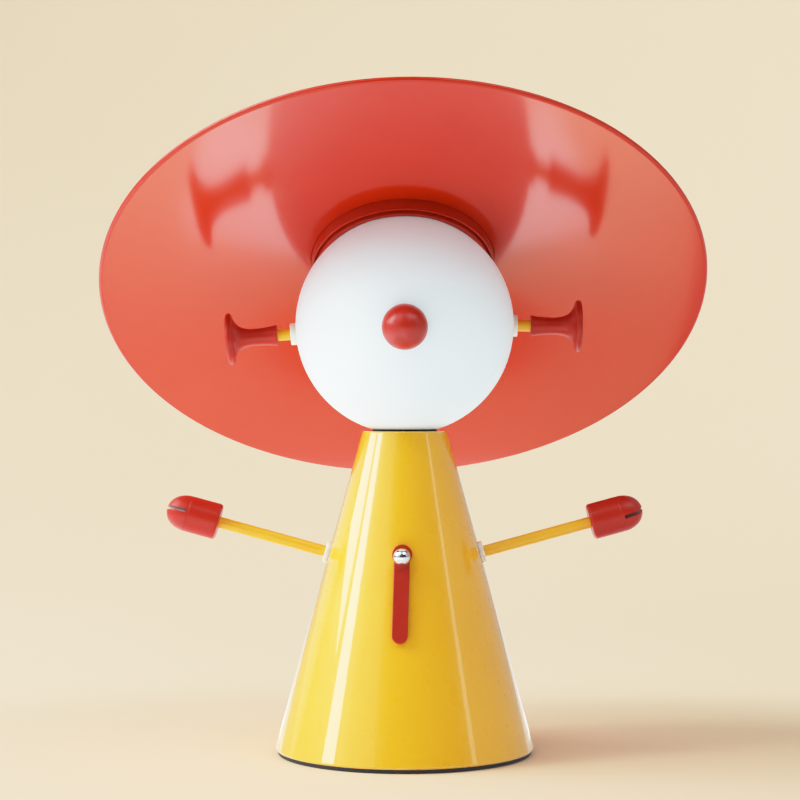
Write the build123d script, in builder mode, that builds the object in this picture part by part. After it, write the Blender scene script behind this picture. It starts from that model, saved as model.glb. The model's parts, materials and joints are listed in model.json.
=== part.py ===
from build123d import *
import os
from math import asin, atan, atan2, cos, hypot, radians, sin, sqrt, tan

# Portable table lamp in the form of a small figure: a cone body on a black pad, an opal globe
# for a head, a wide hat that tilts over the globe, two ears, two arms and a switch lever.
# Millimetres. The origin is on the table under the middle of the cone, +Z is up, and the
# lever side of the lamp faces -Y.

os.makedirs("parts", exist_ok=True)

# Fits
fit_gap = 0.02           # pressed or bonded pieces of one body
running_gap = 0.05       # shaft in its bearing, on the radius
axial_play = 0.12        # end float of a shaft
slide_gap = 0.4          # hat pieces riding over the globe
cut_overrun = 12.0       # how far a cutter passes the face that it leaves

# Foot
pad_inset = 1.3          # pad's edge inside the foot of the cone
pad_thickness = 2.0
pad_chamfer = 0.6
ballast_thickness = 12.0
ballast_gap = 0.15

# Cone body
cone_foot_radius = 65.2
cone_top_radius = 21.3
cone_height = 160.0
cone_wall = 1.5
cone_edge_round = 1.0

# Stem tube and its nuts
stem_radius = 5.0
stem_bore = 3.6
nut_corner_radius = 9.2
nut_thickness = 5.0
foot_nut_recess = 0.6    # how far the foot nut stays above the pad
foot_nut_room = 1.0      # room for a spanner round the foot nut

# Battery
cell_radius = 9.2
cell_length = 65.0
cell_offset = 19.0
cup_wall = 1.8
cup_gap = 0.15
cradle_floor = 2.0
cradle_cup_height = 16.0
contact_radius = 5.0
contact_thickness = 0.4
cap_floor = 2.5
cap_skirt = 7.0

# Driver board
post_radius = 2.2
post_height = 7.0
post_reach = 24.0        # posts from the stem, along X
post_spread = 6.5        # posts from the middle line, along Y
board_thickness = 1.6
board_stem_gap = 0.4
coil_radius = 4.5
coil_height = 5.0
chip_size = 6.0
chip_height = 1.2
plug_length = 5.0
plug_width = 4.0
plug_height = 4.0
plug_reach = 8.0         # cable plugs from the stem
board_part_reach = 17.0  # coil and chip from the stem

# Globe
globe_radius = 55.0
globe_wall = 2.5
globe_seat_radius = 16.4
globe_bore = 13.0
gasket_thickness = 1.0
gasket_inset = 0.2
plug_height_in_globe = 6.0

# Light
sink_radius = 11.5
sink_height = 16.0
sink_socket = 8.0
sink_fin_depth = 3.0
sink_fin_width = 1.6
sink_fin_count = 4
light_board_radius = 11.0
light_chip_size = 3.2
light_chip_height = 0.9
light_chip_ring = 7.0
light_chip_count = 6

# Cables
cable_radius = 1.1
stem_slot_width = 4.4
stem_slot_low = 12.0     # slot from the top of the driver board
stem_slot_length = 20.0
charge_cable_rise = 3.0  # over the middle of the charge board
charge_cable_lead = 8.0
charge_cable_clear = 22.0  # from the stem's axis
switch_cable_drop = 5.8  # under the lever's axis
switch_cable_lead = 4.0
switch_cable_clear = 15.0  # from the stem's axis
bend_share = 0.45        # arc tangent as a share of the shorter run

# Head pose
head_roll = 1.7          # degrees, right side up
left_ear_drop = 3.0      # degrees below the equator
right_ear_drop = 2.1
nose_drop = 2.95
hat_tilt = 36.8          # degrees, tipped back

# Nose
nose_radius = 11.1
nose_proud = 4.0         # ball centre outside the globe
stud_radius = 2.0
stud_grip = 7.0          # stud length inside the ball
stud_tail = 5.5          # stud length inside the globe
nose_nut_radius = 4.2
nose_nut_thickness = 3.0

# Bushes of arms and ears
journal_radius = 2.0
bush_barrel_radius = 3.2
bush_tail = 1.5          # barrel past the inner side of the wall
ring_radius = 3.6        # retaining ring
ring_thickness = 1.2
journal_end = 1.0        # journal past its ring
edge_round = 0.5         # on the edges of bushes and horns

# Ears
ear_bush_radius = 5.5
left_bush_proud = 2.7
right_bush_proud = 1.9
ear_rod_radius = 2.85
ear_rod_show = 6.6       # rod between the bush and the horn
horn_length = 25.6
horn_small_radius = 5.3
horn_waist_radius = 4.3
horn_waist_share = 0.45  # place of the waist along the horn
horn_lip_radius = 13.1
horn_lip_thickness = 3.2
horn_dish_depth = 2.6
horn_socket = 8.0
flare_start_share = 0.725  # where the flare leaves the tube, along the horn
flare_turn_shares = (0.55, 0.83)  # its turn, of the lip's radius and the horn's length

# Arms
shoulder_height = 100.75
shoulder_bush_radius = 5.5
shoulder_bush_proud = 2.1
arm_rod_radius = 2.85
hand_start = 57.5        # base of the hand, from the cone wall
hand_radius = 9.1
hand_barrel = 16.2
hand_dome = 11.0
hand_tip_radius = 8.4
hand_base_round = 1.6
hand_socket = 9.0
hand_seam_depth = 0.12
hand_seam_width = 0.5
hand_slot_width = 1.8
hand_slot_depth = 10.1
left_hand_twist = 13.0   # degrees about the arm
right_hand_twist = 10.0

# Switch lever
lever_height = 100.0
lever_azimuth = -91.7    # degrees about the stem, -90 being straight ahead
switch_neck_radius = 3.1
switch_housing_radius = 8.0
switch_housing_depth = 13.0
switch_nut_radius = 3.9
switch_nut_proud = 0.9
lever_gap = 0.3          # paddle over the ring nut
lever_shaft_radius = 2.2
lever_head_radius = 4.9
lever_head_rise = 2.0
lever_neck_round = 2.0   # between the head and the straight sides
lever_width = 7.7
lever_reach = 41.7
lever_thickness = 1.8
lever_edge_round = 0.4
lever_lean = 1.3         # degrees, lower end to the left
lever_ball_radius = 4.15
lever_ball_seat = 3.3    # ball centre over the paddle
lever_stud_radius = 1.5
lever_stud_grip = 6.0

# Charging port, in the rear wall
port_height = 25.0
port_width = 8.94
port_depth_across = 3.26
port_shell = 0.35
port_length = 7.5
port_tongue_width = 6.7
port_tongue_thickness = 0.7
port_tongue_length = 4.6
bezel_wall = 1.0
bezel_lip = 0.9
bezel_proud = 0.8
bezel_gap = 0.25
charge_board_width = 16.0
charge_board_height = 11.0
bracket_width = 12.0
bracket_depth = 5.0
bracket_rise_share = 0.55  # how far up the charge board the bracket reaches

# Hat
hat_rim_radius = 154.3
hat_rim_height = 18.9    # over the middle of the globe, along the hat's axis
hat_sheet = 1.4
hat_bead_radius = 1.4
crown_room = 8.74        # between the globe and the inside of the crown
throat_angle = 48.2      # degrees from the hat's axis to the throat
brim_bow = 1.4           # rise of the brim over a straight cone
collar_inset = 0.4       # collar inside the throat
collar_sheet = 1.1
collar_drop = 6.4        # collar's edge under the throat
liner_line = 0.9         # open line between collar and liner
liner_drop = 1.5         # liner's lower face under the collar's edge
liner_band = 15.0
magnet_radius = 10.0
magnet_thickness = 4.0
magnet_cup_wall = 4.0
slide_pad_thickness = 1.0
magnet_lift = 0.2        # magnet over the slide pad
keeper_thickness = 1.1
keeper_width = 16.0
keeper_behind = 18.0     # degrees past the photographed tilt
keeper_ahead = 47.0

# Levels up the lamp
cone_base = pad_thickness
cone_top = cone_base + cone_height
ballast_top = cone_base + ballast_thickness
cell_base = ballast_top + cradle_floor + contact_thickness
cell_top = cell_base + cell_length
cap_base = cell_top + contact_thickness
cap_top = cap_base + cap_floor
board_base = cap_top + post_height
board_top = board_base + board_thickness
foot_nut_base = cone_base + foot_nut_recess
globe_base = cone_top + gasket_thickness
globe_plug_top = globe_base + plug_height_in_globe
sink_base = globe_plug_top + nut_thickness
sink_top = sink_base + sink_height
stem_top = sink_base + sink_socket
light_board_top = sink_top + board_thickness
head_height = globe_base + sqrt(globe_radius**2 - globe_seat_radius**2)
globe_inner = globe_radius - globe_wall

# The cone's wall
cone_slope = (cone_foot_radius - cone_top_radius) / cone_height
wall_run = cone_wall * hypot(1, cone_slope)


def cone_radius(height):
    """Outer radius of the cone at a height."""
    return cone_foot_radius - cone_slope * (height - cone_base)


def wall_place(azimuth, height):
    """A plane on the cone's outside: Z straight out of the wall, Y up the slope."""
    out = Vector(cos(radians(azimuth)), sin(radians(azimuth)), 0)
    foot = Vector(0, 0, height) + out * cone_radius(height)
    return Plane(origin=foot, x_dir=(-out.Y, out.X, 0), z_dir=(out.X, out.Y, cone_slope))


def section(place):
    """The plane through a place's axis, in which turned outlines are (radius, height)."""
    return Plane(origin=place.origin, x_dir=place.x_dir, z_dir=-place.y_dir)


def axis_of(place):
    return Axis(place.origin, place.z_dir)


def sphere_height(radius, away):
    """Height over a sphere's middle at a distance from its axis."""
    return sqrt(radius**2 - away**2)


def sphere_arc(radius, start, end):
    """An outline's arc on a sphere, between two distances from the axis."""
    points = [(away, sphere_height(radius, away)) for away in (start, (start + end) / 2, end)]
    return ThreePointArc(*points)


def keep(piece, name):
    piece.part.label = name
    export_step(piece.part, f"parts/{name}.step")


def turned(place, *outline):
    """A turned piece from a straight-sided outline."""
    with BuildPart() as piece:
        with BuildSketch(section(place)):
            with BuildLine():
                Polyline(*outline, close=True)
            make_face()
        revolve(axis=axis_of(place))
    return piece


def sleeve(place, inner, outer, low, high):
    return turned(place, (inner, low), (outer, low), (outer, high), (inner, high))


def rod(place, radius, low, high):
    return turned(place, (0, low), (radius, low), (radius, high), (0, high))


def hex_nut(place, low, corner_radius, bore, thickness):
    with BuildPart() as piece:
        with BuildSketch(place.offset(low)):
            RegularPolygon(corner_radius, 6)
            Circle(bore, mode=Mode.SUBTRACT)
        extrude(amount=thickness)
    return piece


def bend_radii(points):
    """The largest arc that the two runs at each corner leave room for."""
    radii = []
    for before, corner, after in zip(points, points[1:], points[2:]):
        run_in = Vector(corner) - Vector(before)
        run_out = Vector(after) - Vector(corner)
        half_turn = radians(run_in.get_angle(run_out)) / 2
        radii.append(bend_share * min(run_in.length, run_out.length) / tan(half_turn))
    return radii


def cable(*points):
    """A round cable along straight runs and arcs."""
    with BuildPart() as piece:
        with BuildLine() as route:
            FilletPolyline(*points, radius=bend_radii(points))
        with BuildSketch(Plane(origin=route.wire() @ 0, z_dir=route.wire() % 0)):
            Circle(cable_radius)
        sweep()
    return piece


# Places that pieces are built on
upright = Plane.XY
roll_cos = cos(radians(head_roll))
roll_sin = sin(radians(head_roll))
head = Plane(origin=(0, 0, head_height), x_dir=(roll_cos, 0, roll_sin), z_dir=(-roll_sin, 0, roll_cos))


def head_place(direction, side):
    return Plane(origin=head.origin, x_dir=side, z_dir=direction)


def ear_place(sign, drop):
    fall = radians(drop)
    return head_place(head.x_dir * sign * cos(fall) - head.z_dir * sin(fall), head.y_dir)


left_ear = ear_place(-1, left_ear_drop)
right_ear = ear_place(1, right_ear_drop)
tilt = radians(hat_tilt)
hat_place = head_place(head.y_dir * sin(tilt) + head.z_dir * cos(tilt), head.x_dir)
nose_angle = radians(nose_drop)
nose_place = head_place(-head.y_dir * cos(nose_angle) - head.z_dir * sin(nose_angle), head.x_dir)
left_shoulder = wall_place(180, shoulder_height)
right_shoulder = wall_place(0, shoulder_height)
lever_place = wall_place(lever_azimuth, lever_height)
port_place = wall_place(90, port_height)

# Foot pad
with BuildPart() as base_pad:
    with BuildSketch(upright):
        Circle(cone_foot_radius - pad_inset)
    extrude(amount=pad_thickness)
    chamfer(base_pad.edges().group_by(Axis.Z)[0], length=pad_chamfer)
keep(base_pad, "base_pad")

# Steel ballast plate, tapered like the cone that it is drawn up into
plate_low = cone_radius(cone_base) - wall_run - ballast_gap
plate_high = cone_radius(ballast_top) - wall_run - ballast_gap
recess_radius = nut_corner_radius + foot_nut_room
recess_top = foot_nut_base + nut_thickness
stem_hole = stem_radius + fit_gap
keep(
    turned(
        upright,
        (recess_radius, cone_base),
        (plate_low, cone_base),
        (plate_high, ballast_top),
        (stem_hole, ballast_top),
        (stem_hole, recess_top),
        (recess_radius, recess_top),
    ),
    "ballast_plate",
)

# Cone body, open below, with holes for the shoulders, the switch and the charging port
inner_top = cone_top - cone_wall
bezel_width = port_width + 2 * (bezel_gap + bezel_wall)
bezel_across = port_depth_across + 2 * (bezel_gap + bezel_wall)
with BuildPart() as cone_body:
    with BuildSketch(section(upright)) as cone_section:
        with BuildLine():
            Polyline(
                (cone_foot_radius, cone_base),
                (cone_top_radius, cone_top),
                (stem_hole, cone_top),
                (stem_hole, inner_top),
                (cone_radius(inner_top) - wall_run, inner_top),
                (cone_foot_radius - wall_run, cone_base),
                close=True,
            )
        make_face()
        levels = cone_section.vertices().group_by(Axis.Y)
        outer_corners = [level.sort_by(Axis.X)[-1] for level in (levels[0], levels[-1])]
        fillet(outer_corners, radius=cone_edge_round)
    revolve(axis=Axis.Z)
    for place in (left_shoulder, right_shoulder):
        with BuildSketch(place):
            Circle(bush_barrel_radius + fit_gap)
        extrude(amount=cut_overrun, both=True, mode=Mode.SUBTRACT)
    with BuildSketch(lever_place):
        Circle(switch_neck_radius + fit_gap)
    extrude(amount=cut_overrun, both=True, mode=Mode.SUBTRACT)
    with BuildSketch(port_place):
        SlotOverall(bezel_width + 2 * fit_gap, bezel_across + 2 * fit_gap)
    extrude(amount=cut_overrun, both=True, mode=Mode.SUBTRACT)
keep(cone_body, "cone_body")

# Stem tube with the slot where the light cable goes in, and its four nuts
slot_base = board_top + stem_slot_low
with BuildPart() as stem_tube:
    with BuildSketch(upright.offset(foot_nut_base)):
        Circle(stem_radius)
        Circle(stem_bore, mode=Mode.SUBTRACT)
    extrude(amount=stem_top - foot_nut_base)
    with BuildSketch(upright.offset(slot_base)):
        Rectangle(2 * stem_radius, stem_slot_width, align=(Align.MIN, Align.CENTER))
    extrude(amount=stem_slot_length, mode=Mode.SUBTRACT)
keep(stem_tube, "stem_tube")

nut_levels = {
    "foot_nut": foot_nut_base,
    "clamp_nut": cap_top,
    "neck_nut": inner_top - nut_thickness,
    "top_nut": globe_plug_top,
}
for name, level in nut_levels.items():
    keep(hex_nut(upright, level, nut_corner_radius, stem_hole, nut_thickness), name)

# Battery: a cradle and a cap hold the two cells beside the stem
cell_places = [(-cell_offset, 0), (cell_offset, 0)]
cup_bore = cell_radius + cup_gap
cup_radius = cup_bore + cup_wall
tray_length = 2 * (cell_offset + cup_radius)

with BuildPart() as battery_cradle:
    with BuildSketch(upright.offset(ballast_top)):
        SlotOverall(tray_length, 2 * cup_radius)
    extrude(amount=cradle_floor + cradle_cup_height)
    with BuildSketch(upright.offset(ballast_top + cradle_floor)):
        with Locations(*cell_places):
            Circle(cup_bore)
    extrude(amount=cradle_cup_height, mode=Mode.SUBTRACT)
    with BuildSketch(upright.offset(ballast_top)):
        Circle(stem_hole)
    extrude(amount=cradle_floor + cradle_cup_height, mode=Mode.SUBTRACT)
keep(battery_cradle, "battery_cradle")

with BuildPart() as battery_cells:
    with BuildSketch(upright.offset(cell_base)):
        with Locations(*cell_places):
            Circle(cell_radius)
    extrude(amount=cell_length)
keep(battery_cells, "battery_cells")

with BuildPart() as battery_contacts:
    for level in (cell_base - contact_thickness, cell_top):
        with BuildSketch(upright.offset(level)):
            with Locations(*cell_places):
                Circle(contact_radius)
        extrude(amount=contact_thickness)
keep(battery_contacts, "battery_contacts")

post_places = [(x, y) for x in (-post_reach, post_reach) for y in (-post_spread, post_spread)]
with BuildPart() as battery_cap:
    with BuildSketch(upright.offset(cap_base - cap_skirt)):
        SlotOverall(tray_length, 2 * cup_radius)
    extrude(amount=cap_skirt + cap_floor)
    with BuildSketch(upright.offset(cap_base - cap_skirt)):
        with Locations(*cell_places):
            Circle(cup_bore)
    extrude(amount=cap_skirt, mode=Mode.SUBTRACT)
    with BuildSketch(upright.offset(cap_base - cap_skirt)):
        Circle(stem_hole)
    extrude(amount=cap_skirt + cap_floor, mode=Mode.SUBTRACT)
    with BuildSketch(upright.offset(cap_top)):
        with Locations(*post_places):
            Circle(post_radius)
    extrude(amount=post_height)
keep(battery_cap, "battery_cap")

# Driver board with its coil, chip and three cable plugs
with BuildPart() as driver_board:
    with BuildSketch(upright.offset(board_base)):
        SlotOverall(tray_length, 2 * cup_radius)
        Circle(stem_radius + board_stem_gap, mode=Mode.SUBTRACT)
    extrude(amount=board_thickness)
keep(driver_board, "driver_board")

light_plug = (plug_reach + plug_length / 2, 0)
charge_plug = (0, plug_reach)
switch_plug = (0, -plug_reach)
with BuildPart() as board_parts:
    with BuildSketch(upright.offset(board_top)):
        with Locations((-board_part_reach, 0)):
            Circle(coil_radius)
    extrude(amount=coil_height)
    with BuildSketch(upright.offset(board_top)):
        with Locations((board_part_reach + chip_size / 2, 0)):
            Rectangle(chip_size, chip_size)
    extrude(amount=chip_height)
    with BuildSketch(upright.offset(board_top)):
        with Locations(light_plug, charge_plug, switch_plug):
            Rectangle(plug_length, plug_width)
    extrude(amount=plug_height)
keep(board_parts, "board_parts")

# Neck: gasket on the cone, plug bonded in the globe's mouth
gasket_radius = globe_seat_radius - gasket_inset
keep(sleeve(upright, stem_hole, gasket_radius, cone_top, globe_base), "neck_gasket")
plug_radius = globe_bore - fit_gap
keep(sleeve(upright, stem_hole, plug_radius, globe_base, globe_plug_top), "globe_plug")

# Globe: a sphere cut flat at its seat, with holes for the ears and the nose stud
seat_drop = head_height - globe_base
with BuildPart() as globe:
    with BuildSketch(Plane(origin=(0, 0, head_height), x_dir=(1, 0, 0), z_dir=(0, -1, 0))):
        with BuildLine():
            ThreePointArc((globe_seat_radius, -seat_drop), (globe_radius, 0), (0, globe_radius))
            Line((0, globe_radius), (0, globe_inner))
            mouth = (globe_bore, -sphere_height(globe_inner, globe_bore))
            ThreePointArc((0, globe_inner), (globe_inner, 0), mouth)
            Polyline(mouth, (globe_bore, -seat_drop), (globe_seat_radius, -seat_drop))
        make_face()
    revolve(axis=Axis.Z)
    for place in (left_ear, right_ear):
        with BuildSketch(place.offset(globe_inner - cut_overrun)):
            Circle(bush_barrel_radius + fit_gap)
        extrude(amount=globe_wall + 2 * cut_overrun, mode=Mode.SUBTRACT)
    with BuildSketch(nose_place.offset(globe_inner - cut_overrun)):
        Circle(stud_radius + fit_gap)
    extrude(amount=globe_wall + 2 * cut_overrun, mode=Mode.SUBTRACT)
keep(globe, "globe")

# Light: finned heat sink on the stem, round board and its chips
fin_step = sink_height / (sink_fin_count + 1)
cable_hole = cable_radius + running_gap
with BuildPart() as heat_sink:
    with BuildSketch(upright.offset(sink_base)):
        Circle(sink_radius)
    extrude(amount=sink_height)
    for fin in range(sink_fin_count):
        with BuildSketch(upright.offset(sink_base + fin_step * (fin + 1) - sink_fin_width / 2)):
            Circle(sink_radius)
            Circle(sink_radius - sink_fin_depth, mode=Mode.SUBTRACT)
        extrude(amount=sink_fin_width, mode=Mode.SUBTRACT)
    with BuildSketch(upright.offset(sink_base)):
        Circle(stem_hole)
    extrude(amount=sink_socket, mode=Mode.SUBTRACT)
    with BuildSketch(upright.offset(stem_top)):
        Circle(cable_hole)
    extrude(amount=sink_top - stem_top, mode=Mode.SUBTRACT)
keep(heat_sink, "heat_sink")

keep(rod(upright, light_board_radius, sink_top, light_board_top), "light_board")

with BuildPart() as light_chips:
    with BuildSketch(upright.offset(light_board_top)):
        with PolarLocations(light_chip_ring, light_chip_count):
            Rectangle(light_chip_size, light_chip_size)
    extrude(amount=light_chip_height)
keep(light_chips, "light_chips")

# Nose: a ball hollowed to sit on the globe, held by a stud and a nut inside
nose_middle = globe_radius + nose_proud
seat_radius = globe_radius + fit_gap
seat_height = (seat_radius**2 - nose_radius**2 + nose_middle**2) / (2 * nose_middle)
seat_edge = (sphere_height(seat_radius, seat_height), seat_height)
stud_hole = stud_radius + fit_gap
stud_end = globe_radius + stud_grip
with BuildPart() as nose_ball:
    with BuildSketch(section(nose_place)):
        with BuildLine():
            hole_edge = (stud_hole, sphere_height(seat_radius, stud_hole))
            sphere_arc(seat_radius, stud_hole, seat_edge[0])
            ThreePointArc(seat_edge, (nose_radius, nose_middle), (0, nose_middle + nose_radius))
            Polyline((0, nose_middle + nose_radius), (0, stud_end), (stud_hole, stud_end), hole_edge)
        make_face()
    revolve(axis=axis_of(nose_place))
keep(nose_ball, "nose_ball")
keep(rod(nose_place, stud_radius, globe_inner - stud_tail, stud_end - fit_gap), "nose_stud")
nose_nut_top = sphere_height(globe_inner, nose_nut_radius) - fit_gap
nose_nut_low = nose_nut_top - nose_nut_thickness
keep(
    hex_nut(nose_place, nose_nut_low, nose_nut_radius, stud_hole, nose_nut_thickness),
    "nose_nut",
)

# Ears, one a side: bush in the globe wall, stepped rod, flared horn and retaining ring
bush_bore = journal_radius + running_gap
ring_bore = journal_radius + fit_gap
waist = (horn_waist_radius, horn_length * horn_waist_share)
flare_start = (horn_waist_radius, horn_length * flare_start_share)
turn_radius_share, turn_place_share = flare_turn_shares
flare_turn = (horn_lip_radius * turn_radius_share, horn_length * turn_place_share)
lip_round = horn_lip_thickness / 2
lip_middle = horn_length - lip_round
lip_inside = (horn_lip_radius - lip_round, horn_length - horn_lip_thickness)
lip_outside = (horn_lip_radius - lip_round, horn_length)


def ear_bush(place, high):
    low = globe_inner - bush_tail
    barrel_edge = (bush_barrel_radius, sphere_height(seat_radius, bush_barrel_radius))
    flange_edge = (ear_bush_radius, sphere_height(seat_radius, ear_bush_radius))
    with BuildPart() as piece:
        with BuildSketch(section(place)):
            with BuildLine():
                Polyline((bush_bore, high), (bush_bore, low), (bush_barrel_radius, low), barrel_edge)
                sphere_arc(seat_radius, bush_barrel_radius, ear_bush_radius)
                Polyline(flange_edge, (ear_bush_radius, high), (bush_bore, high))
            make_face()
        revolve(axis=axis_of(place))
        rim = piece.edges().filter_by(GeomType.CIRCLE).sort_by(lambda edge: edge.radius)[-2:]
        fillet(rim.sort_by(axis_of(place))[-1], radius=edge_round)
    return piece


def stepped_rod(place, radius, end, step, journal_low):
    return turned(
        place,
        (0, journal_low),
        (journal_radius, journal_low),
        (journal_radius, step),
        (radius, step),
        (radius, end),
        (0, end),
    )


def retaining_ring(place, bush_end):
    high = bush_end - axial_play
    return sleeve(place, ring_bore, ring_radius, high - ring_thickness, high)


def journal_low(bush_end):
    return bush_end - axial_play - ring_thickness - journal_end


def ear_horn(place):
    """The horn on a place at its small end."""
    socket_radius = ear_rod_radius + fit_gap
    small_end = (horn_small_radius - edge_round, 0)
    small_edge = (horn_small_radius, edge_round)
    dish = (0, horn_length - horn_dish_depth)
    with BuildPart() as piece:
        with BuildSketch(section(place)):
            with BuildLine():
                Line((socket_radius, 0), small_end)
                TangentArc(small_end, small_edge, tangent=(1, 0))
                TangentArc(waist, small_edge, tangent=(0, -1))
                Bezier(waist, flare_start, flare_turn, lip_inside)
                ThreePointArc(lip_inside, (horn_lip_radius, lip_middle), lip_outside)
                TangentArc(dish, lip_outside, tangent=(1, 0))
                Polyline(dish, (0, horn_socket), (socket_radius, horn_socket), (socket_radius, 0))
            make_face()
        revolve(axis=axis_of(place))
    return piece


globe_bush_end = globe_inner - bush_tail
ears = (("left", left_ear, left_bush_proud), ("right", right_ear, right_bush_proud))
for side, place, proud in ears:
    bush_high = globe_radius + proud
    step = bush_high + axial_play
    horn_low = bush_high + ear_rod_show
    rod_end = horn_low + horn_socket - fit_gap
    keep(ear_bush(place, bush_high), f"{side}_ear_bush")
    keep(stepped_rod(place, ear_rod_radius, rod_end, step, journal_low(globe_bush_end)), f"{side}_ear_rod")
    keep(ear_horn(place.offset(horn_low)), f"{side}_ear_horn")
    keep(retaining_ring(place, globe_bush_end), f"{side}_ear_ring")

# Arms, one a side, square to the cone wall: bush, stepped rod, slotted hand, retaining ring
hand_seam = hand_start + hand_barrel
hand_tip = hand_seam + hand_dome

# The dome's side arc and its tip arc meet smoothly
tip_rise = hand_dome - hand_tip_radius
side_radius = (hand_radius**2 + tip_rise**2 - hand_tip_radius**2) / (2 * (hand_radius - hand_tip_radius))
side_inset = side_radius - hand_radius
tip_reach = hand_tip_radius / hypot(side_inset, tip_rise)
dome_join = (side_inset * tip_reach, hand_seam + tip_rise * (1 + tip_reach))


def shoulder_bush(place):
    with BuildPart() as piece:
        with BuildSketch(place.offset(-cone_wall)):
            Circle(shoulder_bush_radius)
        extrude(amount=cone_wall + shoulder_bush_proud)
        fillet(piece.edges().sort_by(axis_of(place))[-1], radius=edge_round)
        with Locations((0, 0, cone_base)):
            Cone(
                cone_foot_radius,
                cone_top_radius,
                cone_height,
                align=(Align.CENTER, Align.CENTER, Align.MIN),
                mode=Mode.SUBTRACT,
            )
        with BuildSketch(place.offset(-cone_wall - bush_tail)):
            Circle(bush_barrel_radius)
        extrude(amount=cone_wall + bush_tail + shoulder_bush_proud / 2)
        with BuildSketch(place.offset(-cone_wall - bush_tail)):
            Circle(bush_bore)
        extrude(amount=cone_wall + bush_tail + shoulder_bush_proud, mode=Mode.SUBTRACT)
    return piece


def hand(place, twist):
    socket_radius = arm_rod_radius + fit_gap
    socket_end = hand_start + hand_socket
    seam_half = hand_seam_width / 2
    across = Plane(origin=place.origin, x_dir=place.y_dir, z_dir=place.z_dir)
    with BuildPart() as piece:
        with BuildSketch(section(across)):
            with BuildLine():
                Polyline(
                    (0, hand_tip),
                    (0, socket_end),
                    (socket_radius, socket_end),
                    (socket_radius, hand_start),
                    (hand_radius - hand_base_round, hand_start),
                )
                base_edge = (hand_radius, hand_start + hand_base_round)
                TangentArc((hand_radius - hand_base_round, hand_start), base_edge, tangent=(1, 0))
                Polyline(
                    base_edge,
                    (hand_radius, hand_seam - hand_seam_width),
                    (hand_radius - hand_seam_depth, hand_seam - seam_half),
                    (hand_radius, hand_seam),
                )
                TangentArc((hand_radius, hand_seam), dome_join, tangent=(0, 1))
                TangentArc((0, hand_tip), dome_join, tangent=(1, 0))
            make_face()
        revolve(axis=axis_of(place))
        with BuildSketch(place.offset(hand_tip - hand_slot_depth)):
            Rectangle(2 * hand_radius + cut_overrun, hand_slot_width, rotation=twist)
        extrude(amount=hand_slot_depth + cut_overrun, mode=Mode.SUBTRACT)
    return piece


wall_bush_end = -cone_wall - bush_tail
arms = (("left", left_shoulder, left_hand_twist), ("right", right_shoulder, right_hand_twist))
for side, place, twist in arms:
    step = shoulder_bush_proud + axial_play
    rod_end = hand_start + hand_socket - fit_gap
    keep(shoulder_bush(place), f"{side}_shoulder_bush")
    keep(stepped_rod(place, arm_rod_radius, rod_end, step, journal_low(wall_bush_end)), f"{side}_arm_rod")
    keep(hand(place, twist), f"{side}_hand")
    keep(retaining_ring(place, wall_bush_end), f"{side}_arm_ring")

# Switch: housing behind the front wall, ring nut outside, and the lever on its shaft
shaft_bore = lever_shaft_radius + running_gap
housing_low = -cone_wall - switch_housing_depth
with BuildPart() as switch_body:
    with BuildSketch(lever_place.offset(housing_low)):
        Circle(switch_housing_radius)
    extrude(amount=switch_housing_depth + cone_wall)
    with Locations((0, 0, cone_base)):
        Cone(
            cone_foot_radius - wall_run - fit_gap,
            cone_top_radius - wall_run - fit_gap,
            cone_height,
            align=(Align.CENTER, Align.CENTER, Align.MIN),
            mode=Mode.INTERSECT,
        )
    with BuildSketch(lever_place.offset(housing_low)):
        Circle(switch_neck_radius)
    extrude(amount=switch_nut_proud - housing_low)
    with BuildSketch(lever_place.offset(housing_low)):
        Circle(shaft_bore)
    extrude(amount=switch_nut_proud - housing_low, mode=Mode.SUBTRACT)
keep(switch_body, "switch_body")

with BuildPart() as switch_nut:
    with BuildSketch(lever_place.offset(-cone_wall)):
        Circle(switch_nut_radius)
        Circle(switch_neck_radius + fit_gap, mode=Mode.SUBTRACT)
    extrude(amount=cone_wall + switch_nut_proud)
    with Locations((0, 0, cone_base)):
        Cone(
            cone_foot_radius,
            cone_top_radius,
            cone_height,
            align=(Align.CENTER, Align.CENTER, Align.MIN),
            mode=Mode.SUBTRACT,
        )
keep(switch_nut, "switch_nut")

paddle_low = switch_nut_proud + lever_gap
paddle_top = paddle_low + lever_thickness
ball_stud_hole = lever_stud_radius + fit_gap
lever_ring_high = housing_low - axial_play
shaft_low = lever_ring_high - ring_thickness - journal_end
keep(
    turned(
        lever_place,
        (0, shaft_low),
        (lever_shaft_radius, shaft_low),
        (lever_shaft_radius, paddle_low),
        (ball_stud_hole, paddle_low),
        (ball_stud_hole, paddle_low - lever_stud_grip),
        (0, paddle_low - lever_stud_grip),
    ),
    "lever_shaft",
)
lever_ring_low = lever_ring_high - ring_thickness
keep(
    sleeve(lever_place, lever_shaft_radius + fit_gap, ring_radius, lever_ring_low, lever_ring_high),
    "lever_ring",
)

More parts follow.
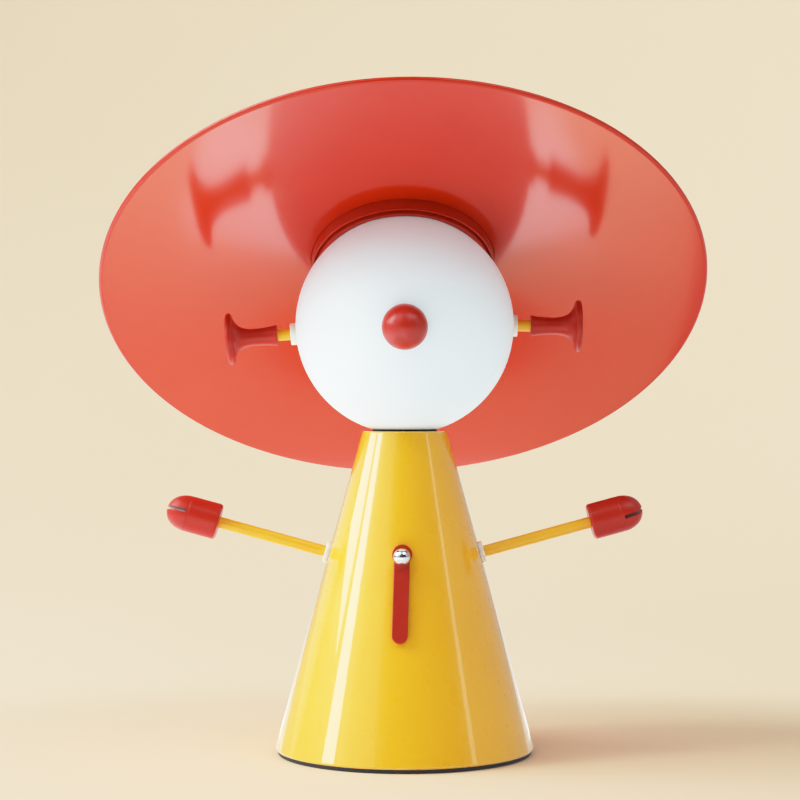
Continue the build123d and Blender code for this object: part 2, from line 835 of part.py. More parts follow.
lean = radians(lever_lean)
paddle_side = lever_place.x_dir * cos(lean) - lever_place.y_dir * sin(lean)
paddle_place = Plane(origin=lever_place.origin, x_dir=paddle_side, z_dir=lever_place.z_dir)
half_width = lever_width / 2
tip_middle = half_width - lever_reach
with BuildPart() as lever_paddle:
    with BuildSketch(paddle_place.offset(paddle_low)) as paddle_outline:
        with BuildLine():
            Polyline(
                (half_width, tip_middle),
                (half_width, lever_head_rise),
                (-half_width, lever_head_rise),
                (-half_width, tip_middle),
            )
            ThreePointArc((-half_width, tip_middle), (0, -lever_reach), (half_width, tip_middle))
        make_face()
        with Locations((0, lever_head_rise)):
            Circle(lever_head_radius)
        neck_corners = paddle_outline.vertices().group_by(Axis.Y)[1]
        fillet(neck_corners, radius=lever_neck_round)
        Circle(ball_stud_hole, mode=Mode.SUBTRACT)
    extrude(amount=lever_thickness)
    paddle_face = lever_paddle.faces().sort_by(axis_of(lever_place))[-1]
    fillet(paddle_face.outer_wire().edges(), radius=lever_edge_round)
keep(lever_paddle, "lever_paddle")

ball_middle = paddle_top + lever_ball_seat
ball_flat = sphere_height(lever_ball_radius, lever_ball_seat)
with BuildPart() as lever_ball:
    with BuildSketch(section(lever_place)):
        with BuildLine():
            stud_foot = paddle_low - lever_stud_grip + fit_gap
            Polyline(
                (0, ball_middle + lever_ball_radius),
                (0, stud_foot),
                (lever_stud_radius, stud_foot),
                (lever_stud_radius, paddle_top),
                (ball_flat, paddle_top),
            )
            ball_top = (0, ball_middle + lever_ball_radius)
            ThreePointArc((ball_flat, paddle_top), (lever_ball_radius, ball_middle), ball_top)
        make_face()
    revolve(axis=axis_of(lever_place))
keep(lever_ball, "lever_ball")

# Charging port: bezel in the rear wall, socket, its board and the bracket on the ballast plate
with BuildPart() as port_bezel:
    with BuildSketch(port_place.offset(-cone_wall)):
        SlotOverall(bezel_width + 2 * bezel_lip, bezel_across + 2 * bezel_lip)
    extrude(amount=cone_wall + bezel_proud)
    with Locations((0, 0, cone_base)):
        Cone(
            cone_foot_radius,
            cone_top_radius,
            cone_height,
            align=(Align.CENTER, Align.CENTER, Align.MIN),
            mode=Mode.SUBTRACT,
        )
    with BuildSketch(port_place.offset(-cone_wall)):
        SlotOverall(bezel_width, bezel_across)
    extrude(amount=cone_wall + bezel_proud / 2)
    with BuildSketch(port_place.offset(-cone_wall)):
        SlotOverall(port_width + 2 * bezel_gap, port_depth_across + 2 * bezel_gap)
    extrude(amount=cone_wall + bezel_proud, mode=Mode.SUBTRACT)
keep(port_bezel, "port_bezel")

with BuildPart() as charge_socket:
    with BuildSketch(port_place.offset(-port_length)):
        SlotOverall(port_width, port_depth_across)
    extrude(amount=port_length)
    with BuildSketch(port_place.offset(port_shell - port_length)):
        SlotOverall(port_width - 2 * port_shell, port_depth_across - 2 * port_shell)
    extrude(amount=port_length, mode=Mode.SUBTRACT)
    with BuildSketch(port_place.offset(-port_length)):
        Rectangle(port_tongue_width, port_tongue_thickness)
    extrude(amount=port_shell + port_tongue_length)
keep(charge_socket, "charge_socket")

with BuildPart() as charge_board:
    with BuildSketch(port_place.offset(-port_length - board_thickness)):
        Rectangle(charge_board_width, charge_board_height)
    extrude(amount=board_thickness)
keep(charge_board, "charge_board")

# The bracket's front face lies along the back of the charge board
board_back = port_place.offset(-port_length - board_thickness - fit_gap)
bracket_rise = charge_board_height * bracket_rise_share - charge_board_height / 2
bracket_head = board_back.origin + board_back.y_dir * bracket_rise
face_run = (bracket_head.Z - ballast_top) * cone_slope
with BuildPart() as port_bracket:
    with BuildSketch(Plane.YZ.offset(-bracket_width / 2)):
        with BuildLine():
            Polyline(
                (bracket_head.Y, bracket_head.Z),
                (bracket_head.Y + face_run, ballast_top),
                (bracket_head.Y - bracket_depth, ballast_top),
                (bracket_head.Y - bracket_depth, bracket_head.Z),
                close=True,
            )
        make_face()
    extrude(amount=bracket_width)
keep(port_bracket, "port_bracket")

# Cables to the light, the charging socket and the switch
plug_top = board_top + plug_height
light_turn = slot_base - cable_radius
light_axis_turn = slot_base + stem_slot_length / 2
keep(
    cable(
        (*light_plug, plug_top),
        (*light_plug, light_turn),
        (0, 0, light_axis_turn),
        (0, 0, sink_top),
    ),
    "light_cable",
)

plug_middle = board_top + plug_height / 2
plug_side = plug_reach + plug_width / 2
solder_side = port_place.offset(-port_length - board_thickness)
charge_start = solder_side.origin + solder_side.y_dir * charge_cable_rise
keep(
    cable(
        charge_start,
        charge_start - solder_side.z_dir * charge_cable_lead,
        (0, charge_cable_clear, cap_base - cap_skirt),
        (0, charge_cable_clear, plug_middle),
        (0, plug_side, plug_middle),
    ),
    "charge_cable",
)

housing_back = lever_place.offset(housing_low)
switch_start = housing_back.origin - housing_back.y_dir * switch_cable_drop
keep(
    cable(
        switch_start,
        switch_start - housing_back.z_dir * switch_cable_lead,
        (0, -switch_cable_clear, plug_middle),
        (0, -plug_side, plug_middle),
    ),
    "switch_cable",
)

# Hat: brim and crown of one sheet, with its rim rolled up and over
dome_inner = globe_radius + crown_room
dome_outer = dome_inner + hat_sheet
crown_side = radians(throat_angle)
throat_radius = dome_inner * sin(crown_side)
throat_height = dome_inner * cos(crown_side)
throat = (throat_radius, throat_height)
outer_throat = (dome_outer * sin(crown_side), dome_outer * cos(crown_side))
dome_start = 90
dome_turn = -throat_angle

# The brim's underside runs smoothly into the roll
bead_middle = (hat_rim_radius - hat_bead_radius, hat_rim_height)
brim_run = bead_middle[0] - throat_radius
brim_drop = throat_height - hat_rim_height
brim_length = hypot(brim_run, brim_drop)
chord_fall = atan2(brim_drop, brim_run) + asin(hat_bead_radius / brim_length)
rim_fall = chord_fall + 2 * atan(2 * brim_bow / brim_length)
brim_edge_low = (
    bead_middle[0] - hat_bead_radius * sin(rim_fall),
    bead_middle[1] - hat_bead_radius * cos(rim_fall),
)
brim_edge_high = (
    brim_edge_low[0] + hat_sheet * sin(rim_fall),
    brim_edge_low[1] + hat_sheet * cos(rim_fall),
)
brim_lift = hat_sheet / cos(chord_fall)
throat_high = (throat_radius, throat_height + brim_lift)
brim_middle = (
    (throat_radius + brim_edge_low[0]) / 2,
    (throat_height + brim_edge_low[1]) / 2 + brim_bow,
)
brim_middle_high = (brim_middle[0], brim_middle[1] + brim_lift)
with BuildPart() as hat_shell:
    with BuildSketch(section(hat_place)):
        with BuildLine():
            CenterArc((0, 0), dome_inner, dome_start, dome_turn)
            Line(throat, outer_throat)
            CenterArc((0, 0), dome_outer, dome_start, dome_turn)
            Line((0, dome_inner), (0, dome_outer))
        make_face()
        with BuildLine():
            ThreePointArc(throat, brim_middle, brim_edge_low)
            Line(brim_edge_low, brim_edge_high)
            ThreePointArc(brim_edge_high, brim_middle_high, throat_high)
            Line(throat_high, throat)
        make_face()
        with Locations(bead_middle):
            Circle(hat_bead_radius)
    revolve(axis=axis_of(hat_place))
keep(hat_shell, "hat_shell")

# Collar and liner ring in the throat; the liner rides over the globe
seat_sphere = dome_inner - fit_gap
ride_sphere = globe_radius + slide_gap
collar_radius = throat_radius - collar_inset
collar_inner = collar_radius - collar_sheet
collar_height = throat_height - collar_drop
with BuildPart() as hat_collar:
    with BuildSketch(section(hat_place)):
        with BuildLine():
            outer_top = (collar_radius, sphere_height(seat_sphere, collar_radius))
            inner_top_edge = (collar_inner, sphere_height(seat_sphere, collar_inner))
            Polyline(
                inner_top_edge,
                (collar_inner, collar_height),
                (collar_radius, collar_height),
                outer_top,
            )
            sphere_arc(seat_sphere, collar_radius, collar_inner)
        make_face()
    revolve(axis=axis_of(hat_place))
keep(hat_collar, "hat_collar")

liner_low = collar_height - liner_drop
liner_high = liner_low + liner_band
liner_outer = collar_inner - liner_line
with BuildPart() as hat_liner:
    with BuildSketch(section(hat_place)):
        with BuildLine():
            inner_low = (sphere_height(ride_sphere, liner_low), liner_low)
            inner_high = (sphere_height(ride_sphere, liner_high), liner_high)
            outer_high = (sphere_height(seat_sphere, liner_high), liner_high)
            outer_low = (liner_outer, sphere_height(seat_sphere, liner_outer))
            Polyline(outer_low, (liner_outer, liner_low), inner_low)
            sphere_arc(ride_sphere, inner_low[0], inner_high[0])
            Line(inner_high, outer_high)
            sphere_arc(seat_sphere, outer_high[0], liner_outer)
        make_face()
    revolve(axis=axis_of(hat_place))
keep(hat_liner, "hat_liner")

# Magnet under the crown, in its cup, on a slide pad
pad_outer = ride_sphere + slide_pad_thickness
cup_low = pad_outer + fit_gap
cup_outside = magnet_radius + magnet_cup_wall
magnet_low = pad_outer + magnet_lift
magnet_high = magnet_low + magnet_thickness
pocket_radius = magnet_radius + fit_gap
with BuildPart() as slide_pad:
    with BuildSketch(section(hat_place)):
        with BuildLine():
            low_edge = (cup_outside, sphere_height(ride_sphere, cup_outside))
            high_edge = (cup_outside, sphere_height(pad_outer, cup_outside))
            sphere_arc(ride_sphere, 0, cup_outside)
            Line(low_edge, high_edge)
            sphere_arc(pad_outer, cup_outside, 0)
            Line((0, pad_outer), (0, ride_sphere))
        make_face()
    revolve(axis=axis_of(hat_place))
keep(slide_pad, "slide_pad")

with BuildPart() as magnet_cup:
    with BuildSketch(section(hat_place)):
        with BuildLine():
            pocket_edge = (pocket_radius, sphere_height(cup_low, pocket_radius))
            low_edge = (cup_outside, sphere_height(cup_low, cup_outside))
            high_edge = (cup_outside, sphere_height(seat_sphere, cup_outside))
            sphere_arc(cup_low, pocket_radius, cup_outside)
            Line(low_edge, high_edge)
            sphere_arc(seat_sphere, cup_outside, 0)
            pocket_top = magnet_high + fit_gap
            Polyline((0, seat_sphere), (0, pocket_top), (pocket_radius, pocket_top), pocket_edge)
        make_face()
    revolve(axis=axis_of(hat_place))
keep(magnet_cup, "magnet_cup")
keep(rod(hat_place, magnet_radius, magnet_low, magnet_high), "crown_magnet")

# Steel keeper band inside the globe, along the way that the magnet travels
keeper_outer = globe_inner - fit_gap
keeper_inner = keeper_outer - keeper_thickness
keeper_half = keeper_width / 2
keeper_start = radians(hat_tilt + keeper_behind)
band_place = head_place(head.y_dir * sin(keeper_start) + head.z_dir * cos(keeper_start), head.x_dir)
with BuildPart() as keeper_band:
    with BuildSketch(section(band_place)):
        with BuildLine():
            outer_edge = sphere_height(keeper_outer, keeper_half)
            inner_edge = sphere_height(keeper_inner, keeper_half)
            ThreePointArc((-keeper_half, outer_edge), (0, keeper_outer), (keeper_half, outer_edge))
            Line((keeper_half, outer_edge), (keeper_half, inner_edge))
            ThreePointArc((keeper_half, inner_edge), (0, keeper_inner), (-keeper_half, inner_edge))
            Line((-keeper_half, inner_edge), (-keeper_half, outer_edge))
        make_face()
    revolve(axis=Axis(head.origin, head.x_dir), revolution_arc=keeper_behind + keeper_ahead)
keep(keeper_band, "keeper_band")
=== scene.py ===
import json
import math

import bmesh
import bpy
from mathutils import Color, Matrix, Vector


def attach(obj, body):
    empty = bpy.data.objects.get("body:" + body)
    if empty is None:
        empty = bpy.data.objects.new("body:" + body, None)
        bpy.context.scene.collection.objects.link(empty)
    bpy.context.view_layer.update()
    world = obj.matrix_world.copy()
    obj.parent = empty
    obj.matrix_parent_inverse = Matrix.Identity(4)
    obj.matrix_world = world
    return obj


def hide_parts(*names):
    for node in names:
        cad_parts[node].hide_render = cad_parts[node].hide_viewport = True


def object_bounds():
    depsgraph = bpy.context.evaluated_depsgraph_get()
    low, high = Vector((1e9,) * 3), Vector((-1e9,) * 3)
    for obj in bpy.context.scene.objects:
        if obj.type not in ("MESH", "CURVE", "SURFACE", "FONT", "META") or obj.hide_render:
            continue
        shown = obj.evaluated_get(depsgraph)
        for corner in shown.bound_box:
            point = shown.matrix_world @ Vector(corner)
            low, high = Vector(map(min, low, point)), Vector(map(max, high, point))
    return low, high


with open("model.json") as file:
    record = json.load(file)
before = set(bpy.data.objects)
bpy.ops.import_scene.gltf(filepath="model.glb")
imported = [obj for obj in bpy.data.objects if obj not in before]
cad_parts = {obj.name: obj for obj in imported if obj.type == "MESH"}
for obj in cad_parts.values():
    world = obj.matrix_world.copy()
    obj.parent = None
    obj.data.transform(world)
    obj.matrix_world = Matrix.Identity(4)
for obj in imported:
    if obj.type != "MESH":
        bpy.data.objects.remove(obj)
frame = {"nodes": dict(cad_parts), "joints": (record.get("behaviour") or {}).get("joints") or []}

# Looks of the table lamp: finishes of every piece, the studio and the camera.
# Metres, in the part's own frame: +Z up, the lever side faces -Y.

mm = 0.001
micron = 0.000001

cad_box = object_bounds()
joints = {joint["name"]: joint for joint in frame["joints"]}
head_middle = Vector(joints["hat_tilt"]["pos_m"])
lamp_middle = (cad_box[0] + cad_box[1]) / 2

# The photograph's frame, in pixels
photo_width = 800
focal_pixels = 2100
axis_pixel = 404.6
horizon_pixel = 403
head_pixel = 325

# Camera
sensor_width = 36.0  # millimetres
eye_distance = 1.060

# Finishes: the span of a noise over which a colour or roughness goes from its first to its second
# value, the noise's detail, and how many grains wide the patches of colour and roughness are
noise_low = 0.3
noise_high = 0.7
soft_detail = 1.0
plain_detail = 2.0
fine_detail = 3.0
metal_patch_grains = 4
dull_patch_grains = 6
dull_rough_grains = 2

# Hat: how near to the middle plane a point counts as on it
seam_reach = 2 * micron

# Studio: the bowl that the camera sees and the white board that the lamp sees
bowl_floor = 0.6
bowl_bend = 1.5
bowl_height = 3.0
bowl_steps = 16
bowl_sides = 96
board_reach = 1.5
board_drop = 0.001
hidden_to = ("visible_diffuse", "visible_glossy", "visible_transmission", "visible_shadow")

# Light: softboxes far off, patches of light just over the board, and the room
softbox_distance = 4.8
glow_height = 0.002
air_strength = 0.515
dim_strength = 0.06
dim_side = (-18, 10)  # azimuth and elevation, in degrees
dim_inner = 32  # degrees around that side where the room is darkest
dim_outer = 53  # degrees from it at which the room is at full strength
studio_white = (0.955, 0.985, 1.0)
yellow_bounce = (1.0, 0.82, 0.45)

# Tone: where the soft shoulder starts and ends, in scene light
shoulder_start = 0.5
shoulder_end = 4.0
shoulder_steps = 20
combined_curve = 3  # the curve for red, green and blue together

# Colours, as display values: the two that a finish varies between
display_top = 255
opal_bright = (229, 249, 252)
yellow = ((242, 175, 24), (245, 179, 26))
hat_red = ((194, 40, 8), (198, 43, 9))
satin_red = ((174, 36, 20), (182, 40, 23))
lever_red = ((162, 33, 15), (167, 36, 17))
opal_white = ((227, 247, 250), opal_bright)
nylon_white = ((228, 222, 208), (240, 236, 226))
chrome_grey = ((214, 216, 220), (228, 230, 232))
zinc_grey = ((168, 170, 172), (186, 187, 188))
steel_grey = ((92, 94, 97), (112, 113, 115))
aluminium_grey = ((190, 191, 193), (206, 207, 208))
brass_yellow = ((190, 152, 84), (206, 170, 100))
nickel_grey = ((176, 172, 164), (192, 188, 180))
soft_black = ((16, 16, 17), (28, 28, 30))
wrap_blue = ((38, 84, 128), (46, 94, 140))
laminate_green = ((22, 74, 48), (28, 86, 56))
component_grey = ((30, 31, 33), (44, 45, 47))
phosphor_yellow = ((232, 198, 92), (240, 210, 110))
jacket_grey = ((198, 196, 190), (212, 210, 204))
felt_grey = ((54, 52, 50), (78, 75, 71))
backdrop_beige = ((227, 201, 168), (229, 203, 170))
board_white = ((241, 241, 241), (244, 244, 244))


def linear(colour):
    """Scene-linear RGBA of a display colour."""
    shares = Color([value / display_top for value in colour])
    return (*shares.from_srgb_to_scene_linear(), 1.0)


# Building blocks of the finishes


def noise(tree, size, detail=plain_detail):
    """Noise with features of a given size, fixed to the part."""
    place = tree.nodes.new("ShaderNodeTexCoord")
    texture = tree.nodes.new("ShaderNodeTexNoise")
    texture.inputs["Scale"].default_value = 1 / size
    texture.inputs["Detail"].default_value = detail
    tree.links.new(place.outputs["Object"], texture.inputs["Vector"])
    return texture.outputs["Fac"]


def tint(tree, shader, factor, colours):
    """Base colour between two colours."""
    ramp = tree.nodes.new("ShaderNodeValToRGB")
    for stop, position, colour in zip(ramp.color_ramp.elements, (noise_low, noise_high), colours):
        stop.position = position
        stop.color = linear(colour)
    tree.links.new(factor, ramp.inputs["Fac"])
    tree.links.new(ramp.outputs["Color"], shader.inputs["Base Color"])


def roughen(tree, shader, factor, rough):
    """Roughness between two values."""
    spread = tree.nodes.new("ShaderNodeMapRange")
    spread.inputs["From Min"].default_value = noise_low
    spread.inputs["From Max"].default_value = noise_high
    spread.inputs["To Min"].default_value = rough[0]
    spread.inputs["To Max"].default_value = rough[1]
    tree.links.new(factor, spread.inputs["Value"])
    tree.links.new(spread.outputs["Result"], shader.inputs["Roughness"])


def emboss(tree, shader, height, depth, coated):
    """Relief of a given depth."""
    bump = tree.nodes.new("ShaderNodeBump")
    bump.inputs["Strength"].default_value = 1.0
    bump.inputs["Distance"].default_value = depth
    tree.links.new(height, bump.inputs["Height"])
    tree.links.new(bump.outputs["Normal"], shader.inputs["Normal"])
    if coated:
        tree.links.new(bump.outputs["Normal"], shader.inputs["Coat Normal"])


def finish(
    name, settings, colours, patch, rough, rough_patch,
    grain=None, depth=0.0, detail=plain_detail, coated=False,
):
    """A material whose colour, roughness and relief vary over features of their own size.

    Plain values sit on the shader's own sockets.
    """
    material = bpy.data.materials.new(name)
    material.use_nodes = True
    tree = material.node_tree
    shader = tree.nodes["Principled BSDF"]
    for socket, value in settings.items():
        shader.inputs[socket].default_value = value
    tint(tree, shader, noise(tree, patch), colours)
    roughen(tree, shader, noise(tree, rough_patch), rough)
    if grain:
        emboss(tree, shader, noise(tree, grain, detail), depth, coated)
    return material


def metal(name, colours, rough, grain, depth):
    """Bare metal with a worked surface."""
    patch = grain * metal_patch_grains
    return finish(name, {"Metallic": 1.0}, colours, patch, rough, grain, grain, depth, fine_detail)


def dull(name, colours, rough, grain, depth):
    """Moulded plastic, rubber, laminate or felt."""
    patch = grain * dull_patch_grains
    rough_patch = grain * dull_rough_grains
    return finish(name, {"IOR": 1.5}, colours, patch, rough, rough_patch, grain, depth, fine_detail)


def sheet_finish(name, colours):
    """Matt paper or board."""
    return finish(
        name, {"Specular IOR Level": 0.2}, colours,
        patch=500 * mm, rough=(0.85, 0.95), rough_patch=20 * mm,
    )


# Finishes by the record's material slots

finishes = {
    # High-gloss stoved enamel with a faint orange peel
    "yellow_gloss": finish(
        "yellow_enamel",
        {"Coat Weight": 1.0, "Coat Roughness": 0.03, "Coat IOR": 1.5, "IOR": 1.45},
        yellow, patch=40 * mm, rough=(0.26, 0.34), rough_patch=6 * mm,
        grain=2.5 * mm, depth=1.5 * micron, detail=soft_detail, coated=True,
    ),
    # Satin paint on the arm and ear rods
    "yellow_rod": finish(
        "yellow_satin", {"IOR": 1.5},
        yellow, patch=10 * mm, rough=(0.34, 0.44), rough_patch=3 * mm,
        grain=0.6 * mm, depth=4 * micron,
    ),
    # Semi-gloss paint on the spun hat
    "red_hat": finish(
        "red_paint",
        {"Coat Weight": 1.0, "Coat Roughness": 0.11, "Coat IOR": 1.37, "IOR": 1.17},
        hat_red, patch=50 * mm, rough=(0.2, 0.24), rough_patch=20 * mm,
        grain=12 * mm, depth=2 * micron, detail=soft_detail, coated=True,
    ),
    # Duller paint on the ring that rides over the globe
    "red_liner": finish(
        "red_liner_paint", {"IOR": 1.5},
        hat_red, patch=20 * mm, rough=(0.4, 0.5), rough_patch=4 * mm,
        grain=0.8 * mm, depth=4 * micron,
    ),
    # Satin lacquer with a fine grain on horns and hands
    "red_matte": finish(
        "red_satin_lacquer", {"IOR": 1.36},
        satin_red, patch=8 * mm, rough=(0.29, 0.35), rough_patch=3 * mm,
        grain=0.4 * mm, depth=3 * micron, detail=fine_detail,
    ),
    # Paint on the stamped lever
    "red_lever": finish(
        "red_lever_paint", {"IOR": 1.45},
        lever_red, patch=6 * mm, rough=(0.3, 0.4), rough_patch=2 * mm,
        grain=0.7 * mm, depth=4 * micron,
    ),
    # Satin opal glass that carries light in its thickness, with a faint painted glow from emission that
    # brightens the whole globe evenly
    "opal": finish(
        "opal_glass",
        {
            "IOR": 1.5,
            "Subsurface Weight": 0.6,
            "Subsurface Radius": (1.0, 1.0, 1.0),
            "Subsurface Scale": 12 * mm,
            # Painted glow: emission that lifts the globe above what the studio's light gives it
            "Emission Color": linear(opal_bright),
            "Emission Strength": 0.2,
        },
        opal_white, patch=30 * mm, rough=(0.38, 0.46), rough_patch=4 * mm,
        grain=0.5 * mm, depth=3 * micron,
    ),
    # Milky nylon of the bushes
    "nylon": finish(
        "clear_nylon",
        {
            "IOR": 1.53,
            "Subsurface Weight": 0.8,
            "Subsurface Radius": (1.0, 0.95, 0.85),
            "Subsurface Scale": 2 * mm,
        },
        nylon_white, patch=4 * mm, rough=(0.28, 0.36), rough_patch=2 * mm,
        grain=0.8 * mm, depth=1 * micron,
    ),
    # Polished chrome with the faint haze of handling
    "chrome_ball": finish(
        "chrome", {"Metallic": 1.0},
        chrome_grey, patch=3 * mm, rough=(0.05, 0.1), rough_patch=1.2 * mm,
    ),
    # Metals and dull pieces: the range of roughness, the size of the grain and its depth
    "plain_steel": metal("zinc_steel", zinc_grey, (0.24, 0.36), 0.8 * mm, 4 * micron),
    "ballast_steel": metal("rolled_steel", steel_grey, (0.4, 0.55), 1.5 * mm, 10 * micron),
    "sink_aluminium": metal("turned_aluminium", aluminium_grey, (0.28, 0.4), 0.6 * mm, 4 * micron),
    "contact_brass": metal("brass", brass_yellow, (0.2, 0.32), 0.6 * mm, 3 * micron),
    "magnet": metal("nickel_plate", nickel_grey, (0.14, 0.24), 1 * mm, 2 * micron),
    "pad_rubber": dull("foot_rubber", soft_black, (0.5, 0.65), 0.6 * mm, 20 * micron),
    "gasket_rubber": dull("gasket_rubber", soft_black, (0.55, 0.7), 0.5 * mm, 10 * micron),
    "black_plastic": dull("black_moulding", soft_black, (0.4, 0.55), 0.5 * mm, 10 * micron),
    "cell_wrap": dull("cell_wrap", wrap_blue, (0.28, 0.4), 2 * mm, 6 * micron),
    "board_laminate": dull("board_laminate", laminate_green, (0.32, 0.45), 0.8 * mm, 6 * micron),
    "board_component": dull("board_component", component_grey, (0.42, 0.55), 0.6 * mm, 6 * micron),
    "light_phosphor": dull("light_phosphor", phosphor_yellow, (0.4, 0.55), 0.5 * mm, 6 * micron),
    "cable_jacket": dull("cable_jacket", jacket_grey, (0.4, 0.52), 0.8 * mm, 6 * micron),
    "felt": dull("felt", felt_grey, (0.85, 0.95), 0.4 * mm, 60 * micron),
}

# Smoother lacquer on the nose
nose_lacquer = finish(
    "nose_lacquer", {"IOR": 1.5},
    satin_red, patch=8 * mm, rough=(0.29, 0.35), rough_patch=3 * mm,
    grain=0.4 * mm, depth=2 * micron, detail=fine_detail,
)

for node in frame["nodes"].values():
    for holder in node.material_slots:
        holder.material = finishes[holder.material.name]
frame["nodes"]["nose_ball"].material_slots[0].material = nose_lacquer


def smooth_object(name, corners, faces, material):
    """A smooth-shaded mesh object in the scene."""
    mesh = bpy.data.meshes.new(name)
    mesh.from_pydata(corners, [], faces)
    mesh.polygons.foreach_set("use_smooth", [True] * len(faces))
    mesh.materials.append(material)
    made = bpy.data.objects.new(name, mesh)
    bpy.context.scene.collection.objects.link(made)
    return made


# Hat


def away_from_finer_half(source, across):
    """The cross axis, pointing away from the half that has more faces."""
    far_faces = sum((face.center - head_middle).dot(across) > 0 for face in source.polygons)
    return -across if far_faces > len(source.polygons) / 2 else across


def build_hat():
    """The shell with an even mesh: its finer half, and the same half mirrored."""
    source = frame["nodes"]["hat_shell"].data
    across = away_from_finer_half(source, Vector(joints["hat_tilt"]["axis"]).normalized())

    # The finer half, cut off at the middle plane, with the normals of its corners
    shell = bmesh.new()
    shell.from_mesh(source)
    lean = shell.loops.layers.float_vector.new("lean")
    for face, polygon in zip(shell.faces, source.polygons):
        for loop, index in zip(face.loops, polygon.loop_indices):
            loop[lean] = source.corner_normals[index].vector
    everything = shell.verts[:] + shell.edges[:] + shell.faces[:]
    bmesh.ops.bisect_plane(
        shell, geom=everything, dist=seam_reach, plane_co=head_middle, plane_no=across, clear_outer=True
    )
    shell.verts.index_update()

    # Its mirror image, which shares the points on the plane
    corners = [corner.co.copy() for corner in shell.verts]
    sides = [(corner - head_middle).dot(across) for corner in corners]
    twins = list(range(len(corners)))
    for index, side in enumerate(sides):
        if side < -seam_reach:
            twins[index] = len(corners)
            corners.append(corners[index] - 2 * side * across)
    faces = [[loop.vert.index for loop in face.loops] for face in shell.faces]
    leans = [loop[lean].copy() for face in shell.faces for loop in face.loops]
    for face in shell.faces:
        loops = list(face.loops)[::-1]
        faces.append([twins[loop.vert.index] for loop in loops])
        leans += [loop[lean] - 2 * loop[lean].dot(across) * across for loop in loops]
    shell.free()

    hat = smooth_object("hat_sheet", corners, faces, finishes["red_hat"])
    hat.data.normals_split_custom_set(leans)
    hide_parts("hat_shell")
    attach(hat, "hat")


# Studio


def build_bowl():
    """A pale seamless bowl for the camera alone, which lets the studio's light through."""
    outline = []
    for step in range(bowl_steps + 1):
        angle = math.pi / 2 * step / bowl_steps
        outline.append((bowl_floor + bowl_bend * math.sin(angle), bowl_bend * (1 - math.cos(angle))))
    outline.append((bowl_floor + bowl_bend, bowl_height))
    corners = []
    for radius, height in outline:
        for side in range(bowl_sides):
            turn = 2 * math.pi * side / bowl_sides
            corners.append((radius * math.cos(turn), radius * math.sin(turn), height))
    faces = [tuple(range(bowl_sides))]
    for ring in range(len(outline) - 1):
        for side in range(bowl_sides):
            first = ring * bowl_sides + side
            second = ring * bowl_sides + (side + 1) % bowl_sides
            faces.append((second, first, first + bowl_sides, second + bowl_sides))
    bowl = smooth_object("bowl", corners, faces, sheet_finish("seamless_paper", backdrop_beige))
    for rays in hidden_to:
        setattr(bowl, rays, False)


def build_board():
    """A white board under the lamp that throws light up into the hat, unseen by the camera."""
    signs = ((-1, -1), (1, -1), (1, 1), (-1, 1))
    corners = [(x * board_reach, y * board_reach, -board_drop) for x, y in signs]
    board = smooth_object("board", corners, [(0, 1, 2, 3)], sheet_finish("white_board", board_white))
    board.visible_camera = False


def toward(azimuth, elevation):
    """A direction from the lamp. Azimuth 0 is on the lever side, 90 on the left."""
    turn = math.radians(azimuth)
    lift = math.radians(elevation)
    return Vector((-math.sin(turn) * math.cos(lift), -math.cos(turn) * math.cos(lift), math.sin(lift)))


def area_light(name, place, facing, width, height, power, colour):
    """A soft rectangle of light that the camera doesn't see."""
    lamp = bpy.data.lights.new(name, "AREA")
    lamp.shape = "RECTANGLE"
    lamp.size = width
    lamp.size_y = height
    lamp.energy = power
    lamp.color = colour
    panel = bpy.data.objects.new(name, lamp)
    panel.location = place
    panel.rotation_euler = (-facing).to_track_quat("Z", "Y").to_euler()
    panel.visible_camera = False
    bpy.context.scene.collection.objects.link(panel)


def softbox(name, azimuth, elevation, width, height, power):
    """A large soft light far off, facing the lamp."""
    away = toward(azimuth, elevation)
    place = lamp_middle + away * softbox_distance
    area_light(name, place, -away, width, height, power, studio_white)


def board_glow(name, place, size, power, colour=studio_white):
    """A brighter patch of the white board."""
    area_light(name, Vector((*place, glow_height)), Vector((0, 0, 1)), *size, power, colour)


def studio_air():
    """Even white room light, dim on the camera's side."""
    world = bpy.data.worlds.new("studio_air")
    world.use_nodes = True
    tree = world.node_tree
    place = tree.nodes.new("ShaderNodeTexCoord")
    facing = tree.nodes.new("ShaderNodeVectorMath")
    fall = tree.nodes.new("ShaderNodeMapRange")
    facing.operation = "DOT_PRODUCT"
    facing.inputs[1].default_value = toward(*dim_side)
    fall.interpolation_type = "SMOOTHSTEP"
    fall.inputs["From Min"].default_value = math.cos(math.radians(dim_outer))
    fall.inputs["From Max"].default_value = math.cos(math.radians(dim_inner))
    fall.inputs["To Min"].default_value = air_strength
    fall.inputs["To Max"].default_value = dim_strength
    background = tree.nodes["Background"]
    background.inputs["Color"].default_value = (*studio_white, 1)
    tree.links.new(place.outputs["Generated"], facing.inputs[0])
    tree.links.new(facing.outputs["Value"], fall.inputs["Value"])
    tree.links.new(fall.outputs["Result"], background.inputs["Strength"])
    bpy.context.scene.world = world


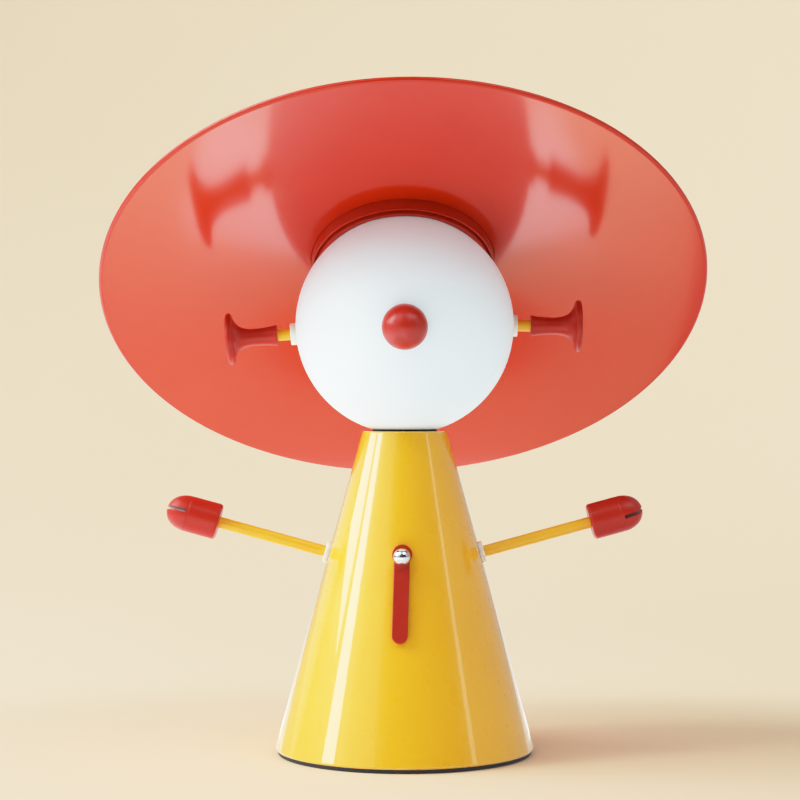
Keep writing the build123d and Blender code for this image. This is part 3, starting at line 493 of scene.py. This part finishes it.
def studio_tone():
    """Plain display colours with a soft shoulder on the brightest tones."""
    view = bpy.context.scene.view_settings
    view.view_transform = "Standard"
    view.use_curve_mapping = True
    tone = view.curve_mapping
    tone.extend = "HORIZONTAL"
    tone.white_level = (shoulder_end, shoulder_end, shoulder_end)
    curve = tone.curves[combined_curve]
    room = 1 - shoulder_start
    for step in range(shoulder_steps):
        share = step / shoulder_steps
        light = shoulder_start + (shoulder_end - shoulder_start) * share ** 2
        shown = 1 - room * math.exp((shoulder_start - light) / room)
        curve.points.new(light / shoulder_end, shown)
    for point in curve.points:
        point.handle_type = "VECTOR"
    tone.update()


def build_lights():
    """Softboxes, patches of light on the board, room light and tone."""
    softbox("key", azimuth=72, elevation=28, width=1.1, height=2.8, power=95)
    softbox("key_left", azimuth=96, elevation=24, width=1.9, height=1.6, power=73)
    softbox("left_high", azimuth=90, elevation=48, width=3.0, height=2.4, power=124)
    softbox("back_left", azimuth=135, elevation=25, width=3.5, height=3.9, power=25)
    softbox("fill", azimuth=45, elevation=24, width=2.9, height=2.2, power=9)
    softbox("upper_left", azimuth=45, elevation=50, width=3.5, height=2.4, power=48)
    softbox("upper_right", azimuth=-45, elevation=50, width=3.5, height=2.4, power=60)
    softbox("right_strip", azimuth=-65, elevation=22, width=0.4, height=1.8, power=5)
    board_glow("glow_behind", place=(0, 0.118), size=(0.11, 0.045), power=0.06)
    board_glow("glow_round_it", place=(0, 0.11), size=(0.2, 0.09), power=0.12, colour=yellow_bounce)
    board_glow("glow_far", place=(0, 0.25), size=(0.3, 0.14), power=0.08)
    board_glow("glow_left", place=(-0.36, -0.05), size=(0.4, 0.5), power=0.8)
    board_glow("glow_front", place=(-0.1, -0.35), size=(0.3, 0.3), power=0.3)
    studio_air()
    studio_tone()


def build_camera():
    """The camera at the photograph's place, level, with its picture shifted as there."""
    camera = bpy.data.cameras.new("camera")
    camera.sensor_width = sensor_width
    camera.lens = sensor_width * focal_pixels / photo_width
    camera.shift_x = (photo_width / 2 - axis_pixel) / photo_width
    camera.shift_y = (horizon_pixel - photo_width / 2) / photo_width
    eye = bpy.data.objects.new("camera", camera)
    eye_drop = (horizon_pixel - head_pixel) * eye_distance / focal_pixels
    eye.location = (0, -eye_distance, head_middle.z - eye_drop)
    eye.rotation_euler = (math.pi / 2, 0, 0)
    bpy.context.scene.collection.objects.link(eye)
    bpy.context.scene.camera = eye


build_hat()
build_bowl()
build_board()
build_lights()
build_camera()
